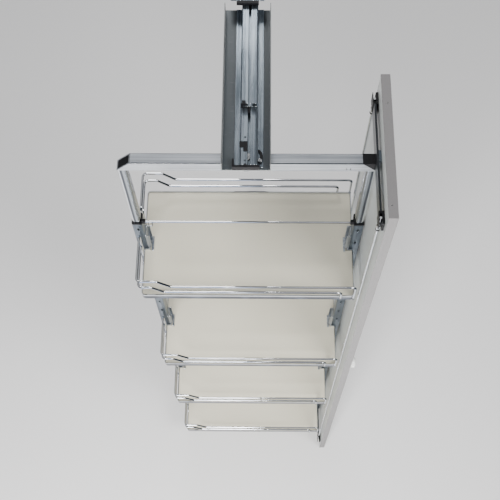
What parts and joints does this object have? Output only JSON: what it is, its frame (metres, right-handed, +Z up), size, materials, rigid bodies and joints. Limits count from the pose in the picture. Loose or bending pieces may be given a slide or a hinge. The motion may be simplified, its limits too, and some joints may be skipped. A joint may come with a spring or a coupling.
{
  "type": "swing-out larder pull-out",
  "caption": "Tall larder pull-out hung from a ceiling runner: a frame of wire-railed trays with a door panel slides out and turns on a pivot.",
  "frame": {"origin": "middle of the ceiling screw pattern, on the upper face of the ceiling plate", "axes": "+Z up; -Y out of the cabinet; +X towards the door panel in the stored pose"},
  "size_m": [0.5378, 1.052, 2],
  "materials": {
    "zinc_slide": "bright zinc plate",
    "grey_paint": "satin grey powder coat",
    "black_plastic": "moulded black",
    "black_rubber": "soft black",
    "steel_hardware": "plated steel",
    "nylon": "natural nylon",
    "satin_tube": "satin anodised",
    "polished_post": "polished",
    "zinc_post": "blue zinc",
    "chrome": "bright chrome",
    "bracket_steel": "zinc plate",
    "tray_board": "warm white melamine faced board",
    "door_board": "white laminated board",
    "dark_steel": "dark satin coat",
    "slate_steel": "slate satin coat",
    "white_knob": "glossy white"
  },
  "bodies": {
    "cabinet_side": {"ceiling_plate": "zinc_slide", "ceiling_rail": "zinc_slide", "ceiling_end_stop": "black_plastic", "floor_plate": "zinc_slide", "floor_rail": "zinc_slide"},
    "top_middle": {"top_middle_rail": "zinc_slide", "top_middle_catch": "black_plastic"},
    "rear_cage": {"top_rear_cage": "steel_hardware"},
    "front_cage": {"top_front_cage": "steel_hardware"},
    "floor_middle": {"floor_middle_rail": "zinc_slide"},
    "beam": {"beam_channel": "grey_paint", "beam_rail": "zinc_slide", "beam_bumper": "black_plastic", "beam_catch": "black_plastic", "top_pivot_stud": "steel_hardware", "lever_pin": "steel_hardware"},
    "lock_lever": {"swing_lock_lever": "black_plastic"},
    "floor_beam": {"floor_beam_channel": "grey_paint", "floor_beam_rail": "zinc_slide", "bottom_pivot_stud": "steel_hardware"},
    "frame": {"left_end_cap": "black_plastic", "right_end_cap": "black_plastic", "left_collar": "black_plastic", "right_collar": "black_plastic", "rod_clamps": "black_plastic", "door_top_wedge": "black_plastic", "door_bottom_wedge": "black_plastic", "rod_rings": "black_rubber", "door_screws": "steel_hardware", "top_pivot_bush": "nylon", "bottom_pivot_bush": "nylon", "top_tube": "satin_tube", "bottom_tube": "satin_tube", "left_upper_post": "polished_post", "right_upper_post": "polished_post", "left_lower_post": "zinc_post", "right_lower_post": "zinc_post", "cross_rod": "chrome", "rod_sleeves": "chrome", "door_front_rod": "chrome", "door_rear_rod": "chrome", "tray_1_basket": "chrome", "tray_2_basket": "chrome", "tray_3_basket": "chrome", "tray_4_basket": "chrome", "tray_1_brackets": "bracket_steel", "tray_2_brackets": "bracket_steel", "tray_3_brackets": "bracket_steel", "tray_4_brackets": "bracket_steel", "tray_1_board": "tray_board", "tray_2_board": "tray_board", "tray_3_board": "tray_board", "tray_4_board": "tray_board", "door_panel": "door_board", "door_top_bar": "dark_steel", "door_bottom_bar": "dark_steel", "door_top_block": "slate_steel", "door_bottom_block": "slate_steel", "door_knob": "white_knob"}
  },
  "joints": [
    {"name": "pull_out", "type": "slide", "parent": "cabinet_side", "child": "beam", "axis": [0, 1, 0], "range_m": [0, 0.5725]},
    {"name": "top_middle_slide", "type": "slide", "parent": "cabinet_side", "child": "top_middle", "axis": [0, 1, 0], "range_m": [0, 0.451]},
    {"name": "rear_cage_roll", "type": "slide", "parent": "cabinet_side", "child": "rear_cage", "axis": [0, 1, 0], "range_m": [0, 0.2255]},
    {"name": "front_cage_roll", "type": "slide", "parent": "cabinet_side", "child": "front_cage", "axis": [0, 1, 0], "range_m": [0, 0.51175]},
    {"name": "floor_middle_slide", "type": "slide", "parent": "cabinet_side", "child": "floor_middle", "axis": [0, 1, 0], "range_m": [0, 0.451]},
    {"name": "floor_beam_slide", "type": "slide", "parent": "cabinet_side", "child": "floor_beam", "axis": [0, 1, 0], "range_m": [0, 0.5725]},
    {"name": "frame_swing", "type": "hinge", "parent": "beam", "child": "frame", "pos_m": [0, -0.615, -0.04], "axis": [0, 0, 1], "range_deg": [-90, 0]},
    {"name": "lock_lever_turn", "type": "hinge", "parent": "beam", "child": "lock_lever", "pos_m": [0.0256, -0.625, -0.032], "axis": [0, 0, 1], "range_deg": [-20, 0], "stiffness_Nm_per_rad": 0.01}
  ],
  "couplings": [
    {"joint": "top_middle_slide", "follows": "pull_out", "ratio": 0.78777},
    {"joint": "rear_cage_roll", "follows": "pull_out", "ratio": 0.39389},
    {"joint": "front_cage_roll", "follows": "pull_out", "ratio": 0.89389},
    {"joint": "floor_middle_slide", "follows": "pull_out", "ratio": 0.78777},
    {"joint": "floor_beam_slide", "follows": "pull_out", "ratio": 1}
  ]
}
